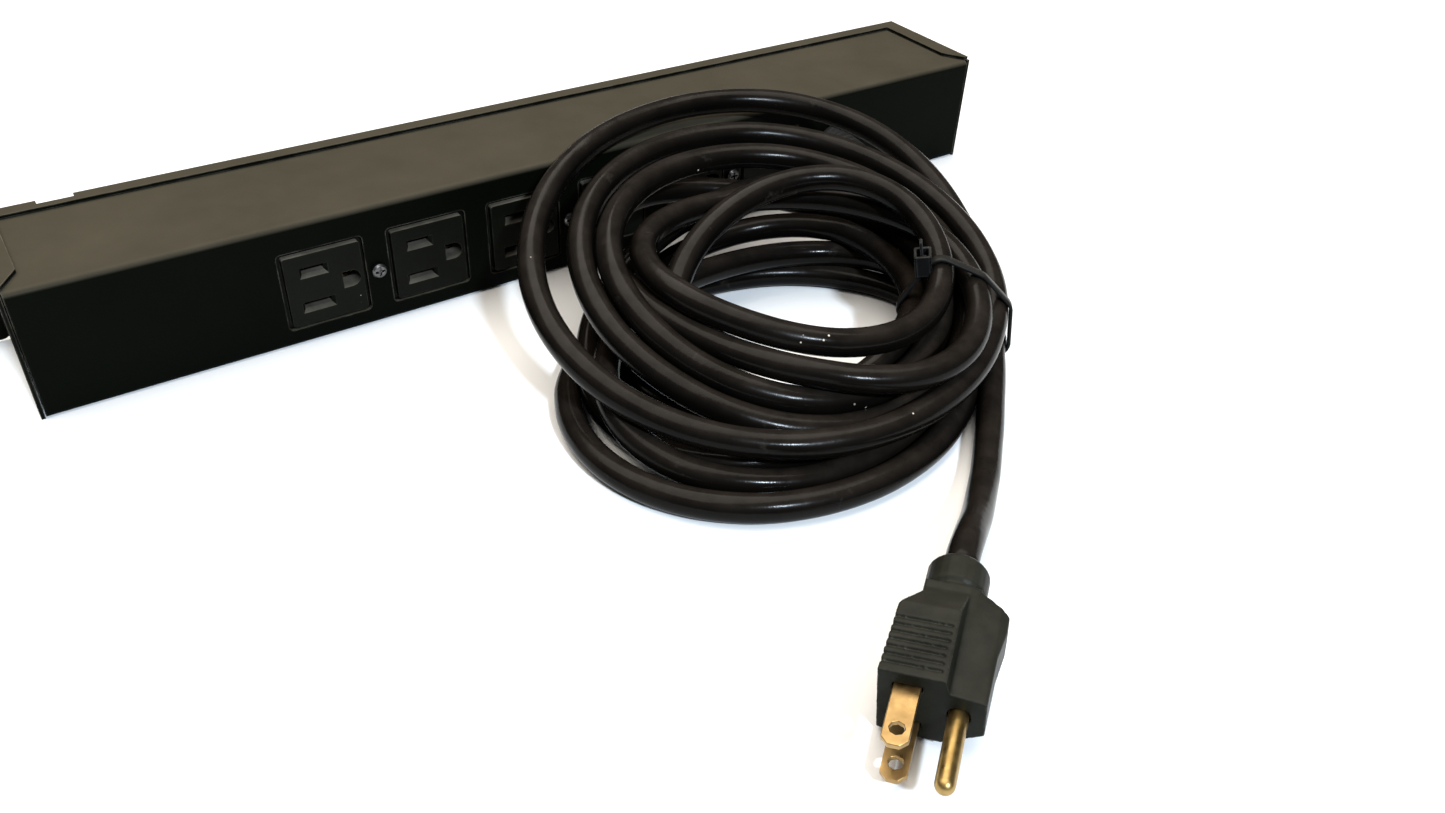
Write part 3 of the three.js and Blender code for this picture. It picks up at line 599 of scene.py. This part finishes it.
# Its large share of pale up-facing colour is painted light on the slots' up-facing slopes, as well as
# dust.
face_plastic = moulded("receptacle_face", (0.0015, 0.0019, 0.0011), 0.42,
                       edge_colour=(0.022, 0.023, 0.018), dust_and_top_light_share=0.34)
back_plastic = moulded("receptacle_back", (0.02, 0.02, 0.021), 0.5)
relief_rubber = moulded("strain_relief", (0.006, 0.006, 0.006), 0.48)
# A paler colour on the edges of its ribs.
plug_rubber = moulded("plug_moulding", (0.0060, 0.0064, 0.0045), 0.42,
                      edge_colour=(0.060, 0.056, 0.044))
tie_nylon = moulded("tie_nylon", (0.005, 0.005, 0.005), 0.34, dust_and_top_light_share=0.06)
jacket = cord_jacket()
brass = plated("plug_brass", (0.32, 0.21, 0.088), 0.36, (0.26, 0.165, 0.065))
pin_brass = plated("pin_brass", (0.34, 0.23, 0.085), 0.36, (0.24, 0.155, 0.05))
contact_brass = plated("contact_brass", (0.66, 0.46, 0.20), 0.34, (0.40, 0.27, 0.12))
steel = plated("screw_steel", (0.12, 0.12, 0.12), 0.36, (0.05, 0.05, 0.047))
live_wire = moulded("live_wire", (0.016, 0.016, 0.016), 0.4)
neutral_wire = moulded("neutral_wire", (0.45, 0.45, 0.43), 0.4)
ground_wire = moulded("ground_wire", (0.03, 0.22, 0.06), 0.4)


def dress(piece, material):
    """Gives a piece its one material and slot, and fixes it to the part's only body."""
    piece.data.materials.clear()
    piece.data.materials.append(material)
    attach(piece, "root")
    return piece


# ---- cord ----------------------------------------------------------------------------------------
line = cord_line()
cord = dress(cord_mesh("power_cord", line), jacket)
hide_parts("cord_lead", "cord_coil", "cord_tail")

# ---- strain relief -------------------------------------------------------------------------------
RELIEF_LENGTH = 0.025
RELIEF_ROOT = 0.008
RELIEF_TIP = 0.0058
RELIEF_RINGS = 6
RELIEF_GROOVE = 0.0011         # depth of the grooves between the rings


def relief_profile():
    """A flange on the sheet, then a taper cut into flexing rings."""
    inside_wall = [(-0.0055, 0.0001), (-0.0055, 0.0078), (-0.0022, 0.0079), (-0.0015, 0.0064)]
    flange = [(0.0003, 0.0064), (0.0004, 0.0086), (0.0008, 0.009), (0.0026, 0.009),
              (0.0032, 0.0085)]
    profile = inside_wall + flange
    ring_start, ring_end = 0.0045, RELIEF_LENGTH - 0.002
    pitch = (ring_end - ring_start) / RELIEF_RINGS
    for ring in range(RELIEF_RINGS):
        x = ring_start + ring * pitch
        taper = (x / RELIEF_LENGTH) * (RELIEF_ROOT - RELIEF_TIP)
        outer = RELIEF_ROOT - taper
        groove = outer - RELIEF_GROOVE
        profile += [(x, groove), (x + 0.0004, outer - 0.0002), (x + 0.0007, outer),
                    (x + pitch - 0.0014, outer - 0.0001), (x + pitch - 0.0011, outer - 0.0003),
                    (x + pitch - 0.0007, groove)]
    tip = [(RELIEF_LENGTH - 0.0012, RELIEF_TIP), (RELIEF_LENGTH - 0.0003, RELIEF_TIP - 0.0004),
           (RELIEF_LENGTH, 0.0048), (RELIEF_LENGTH, 0.0001)]
    return profile + tip


relief_place = (Matrix.Translation((EXIT[0], FRONT, EXIT[2]))
                @ Matrix.Rotation(-math.pi / 2, 4, "Z"))
relief = dress(lathe_piece("relief", relief_profile(), relief_place), relief_rubber)
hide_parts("strain_relief")

# ---- cable tie -------------------------------------------------------------------------------------
STRAP_SIDES = 24               # round each pass of the cord, to find the strap's outline
STRAP_STEP = 0.0012
STRAP_ROOM = 0.0002            # between the strap and the cord
STRAP_CHAMFER = 0.0003
STRAP_FLOOR = 0.00005          # the strap keeps this far off the floor
BUNDLE_INNER = 0.03            # the passes that the strap holds are this far out or more
BUNDLE_OUTER = 0.09            # and no further than this
HEAD_WIDE = 0.0037             # half sizes of the locking head
HEAD_DEEP = 0.0028
HEAD_TALL = 0.0036
HEAD_WALL = 0.0011
HEAD_INWARD = 0.0022           # from the strap to the head's middle
HEAD_LEAN = math.radians(-12)
HEAD_EDGE = 0.0003
CUT_END = 0.0042               # what is left of the strap above the head

outward = Vector((math.cos(STRAP_ANGLE), math.sin(STRAP_ANGLE), 0))
across = Vector((0, 0, 1)).cross(outward)


def passes_at_tie():
    """Distance out and height of each pass of the cord through the tie's plane."""
    flat = line[:, :2] - BUNDLE_CENTRE
    aside = flat @ np.array(across.xy)
    out = flat @ np.array(outward.xy)
    found = []
    for n in range(len(line) - 1):
        if aside[n] * aside[n + 1] <= 0 and BUNDLE_INNER < out[n] < BUNDLE_OUTER:
            found.append((out[n], line[n, 2]))
    return found


def hull(points):
    """The convex outline round flat points, anticlockwise."""
    points = sorted(set(points))

    def half(ordered):
        chain = []
        for p in ordered:
            while len(chain) > 1:
                (ax, ay), (bx, by) = chain[-2], chain[-1]
                if (bx - ax) * (p[1] - ay) - (by - ay) * (p[0] - ax) > 0:
                    break
                chain.pop()
            chain.append(p)
        return chain[:-1]

    return half(points) + half(points[::-1])


def strap_outline():
    """The strap's middle line in the tie's plane: pulled tight round the bundle."""
    reach = CORD_RADIUS + TIE_THICKNESS / 2 + STRAP_ROOM
    lowest = TIE_THICKNESS / 2 + 0.0001
    spots = []
    for out, height in passes_at_tie():
        for k in range(STRAP_SIDES):
            angle = 2 * math.pi * k / STRAP_SIDES
            spots.append((out + reach * math.cos(angle),
                          max(height + reach * math.sin(angle), lowest)))
    outline = np.array(hull(spots))
    closed = np.vstack([outline, outline[:1]])
    return evenly(np.c_[closed, np.zeros(len(closed))], STRAP_STEP)[:-1, :2]


def tie_point(out, height, aside=0.0):
    """A point given by its distance out, its height and its distance aside of the tie's plane."""
    return (Vector((*BUNDLE_CENTRE, 0)) + outward * out + across * aside
            + Vector((0, 0, height)))


def strap_mesh(outline):
    """A flat strap with rounded edges round the bundle."""
    half = TIE_WIDTH / 2
    thick = TIE_THICKNESS / 2
    edge = thick * 0.6
    section = [(-half, -edge), (-half + STRAP_CHAMFER, -thick), (half - STRAP_CHAMFER, -thick),
               (half, -edge), (half, edge), (half - STRAP_CHAMFER, thick),
               (-half + STRAP_CHAMFER, thick), (-half, edge)]
    vertices, faces = [], []
    count, around = len(outline), len(section)
    for n, place in enumerate(outline):
        step = outline[(n + 1) % count] - outline[n - 1]
        normal = np.array([step[1], -step[0]]) / np.linalg.norm(step)
        for aside, proud in section:
            spot = place + normal * proud
            vertices.append(tie_point(spot[0], max(spot[1], STRAP_FLOOR), aside))
    for n in range(count):
        here, there = n * around, (n + 1) % count * around
        for k in range(around):
            beside = (k + 1) % around
            faces.append((here + k, here + beside, there + beside, there + k))
    return mesh_piece("tie_strap", vertices, faces)


def block_into(work, corner, opposite):
    """Adds a box between two opposite corners."""
    low = [min(pair) for pair in zip(corner, opposite)]
    high = [max(pair) for pair in zip(corner, opposite)]
    for v in bmesh.ops.create_cube(work, size=1)["verts"]:
        for axis in range(3):
            v.co[axis] = low[axis] if v.co[axis] < 0 else high[axis]


def tie_head_mesh():
    """The locking head: four walls round the strap's window, a pawl and the cut-off end."""
    work = bmesh.new()
    wide, deep, tall = HEAD_WIDE, HEAD_DEEP, HEAD_TALL
    end_half = TIE_WIDTH * 0.42
    for side in (-1, 1):
        block_into(work, (side * wide, -deep, -tall), (side * (wide - HEAD_WALL), deep, tall))
        block_into(work, (-wide, side * deep, -tall), (wide, side * (deep - HEAD_WALL * 0.8), tall))
    block_into(work, (-wide * 0.6, -deep * 0.4, -tall * 0.5), (wide * 0.6, deep * 0.2, tall * 0.4))
    block_into(work, (-end_half, -0.0002, tall * 0.3), (end_half, 0.0008, tall + CUT_END))
    mesh = bpy.data.meshes.new("tie_head")
    work.to_mesh(mesh)
    work.free()
    return add_object("tie_head", mesh)


outline = strap_outline()
strap = dress(strap_mesh(outline), tie_nylon)
head = tie_head_mesh()
inner_top = outline[(outline[:, 1] - outline[:, 0]).argmax()]
head_place = tie_point(inner_top[0] - HEAD_INWARD, inner_top[1])
head.matrix_world = (Matrix.Translation(head_place)
                     @ Matrix((across, -outward, (0, 0, 1))).transposed().to_4x4()
                     @ Matrix.Rotation(HEAD_LEAN, 4, "X"))
round_edges(head, HEAD_EDGE)
dress(head, tie_nylon)
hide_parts("cable_tie")

# ---- plug --------------------------------------------------------------------------------------------
PLUG_GRID = 0.0003             # size of the cells that the moulding is rebuilt from
PLUG_SMOOTHING = 6
PRONG_EDGE = 0.00025
PRONGS = {"plug_live_blade": brass, "plug_neutral_blade": brass, "plug_ground_pin": pin_brass}


def plug_body():
    """The moulded body: the CAD shape, with the softness of a rubber moulding."""
    piece = cad_copy("plug_body", "plug")
    remesh = piece.modifiers.new("remesh", "REMESH")
    remesh.mode = "VOXEL"
    remesh.voxel_size = PLUG_GRID
    remesh.use_smooth_shade = True
    soften = piece.modifiers.new("soften", "SMOOTH")
    soften.factor = 0.5
    soften.iterations = PLUG_SMOOTHING
    apply_modifiers(piece)
    return piece


plug = dress(plug_body(), plug_rubber)
for node, material in PRONGS.items():
    piece = softened(node, node.replace("plug_", "prong_"), PRONG_EDGE)
    dress(piece, material)

# ---- housing and outlets -----------------------------------------------------------------------------
SHEET_EDGE = 0.00025
FACE_EDGE = 0.0003
SCREW_EDGE = 0.0002

dress(softened("front_shell", "shell", SHEET_EDGE), paint)
dress(softened("back_tray", "tray", SHEET_EDGE), tray_paint)
for number in RECEPTACLES:
    face = softened(f"receptacle_front_{number}", f"outlet_pair_{number}", FACE_EDGE)
    dress(face, face_plastic)
    screw = softened(f"receptacle_screw_{number}", f"face_screw_{number}", SCREW_EDGE)
    dress(screw, steel)
for number in COVER_SCREWS:
    screw = softened(f"cover_screw_{number}", f"rear_screw_{number}", SCREW_EDGE)
    dress(screw, steel)

# The nodes inside the housing are shown as they are in the CAD part.
carried_over = {"live_lead": live_wire, "neutral_lead": neutral_wire, "ground_lead": ground_wire}
for number in RECEPTACLES:
    carried_over[f"receptacle_back_{number}"] = back_plastic
    for kind in ("live", "neutral", "ground"):
        carried_over[f"{kind}_contact_{number}"] = contact_brass
for name, material in carried_over.items():
    nodes[name].data.materials.clear()
    nodes[name].data.materials.append(material)

# ---- floor and light -----------------------------------------------------------------------------------
bpy.ops.mesh.primitive_plane_add(size=8)
floor = bpy.context.object
floor.name = "floor"
white = Surface("floor_white", 0.7)
floor.data.materials.append(white.finish(
    white.mix(white.noise(6), (0.86, 0.86, 0.86), (0.90, 0.90, 0.90)), white.noise(20), 0.05))


def softbox(name, place, aim, size, watts, colour):
    """A rectangular area light at a place, turned towards its aim."""
    data = bpy.data.lights.new(name, "AREA")
    data.shape = "RECTANGLE"
    data.size, data.size_y = size
    data.energy = watts
    data.color = colour
    light = bpy.data.objects.new(name, data)
    light.location = place
    light.rotation_euler = (Vector(aim) - Vector(place)).to_track_quat("-Z", "Y").to_euler()
    bpy.context.scene.collection.objects.link(light)


COIL_MIDDLE = (0, -0.1, 0)
softbox("ceiling", place=(-0.1, 0.35, 1.8), aim=COIL_MIDDLE, size=(2.4, 2.0), watts=66,
        colour=(1.0, 0.94, 0.85))
softbox("lamp", place=(-0.15, -1.1, 0.9), aim=COIL_MIDDLE, size=(0.11, 0.08), watts=21,
        colour=(0.76, 0.88, 1.0))
world = bpy.data.worlds.new("room")
world.use_nodes = True
background = world.node_tree.nodes["Background"]
background.inputs["Color"].default_value = (1.0, 0.98, 0.96, 1)
background.inputs["Strength"].default_value = 0.12
bpy.context.scene.world = world
bpy.context.scene.view_settings.view_transform = "Standard"
bpy.context.scene.cycles.use_denoising = True
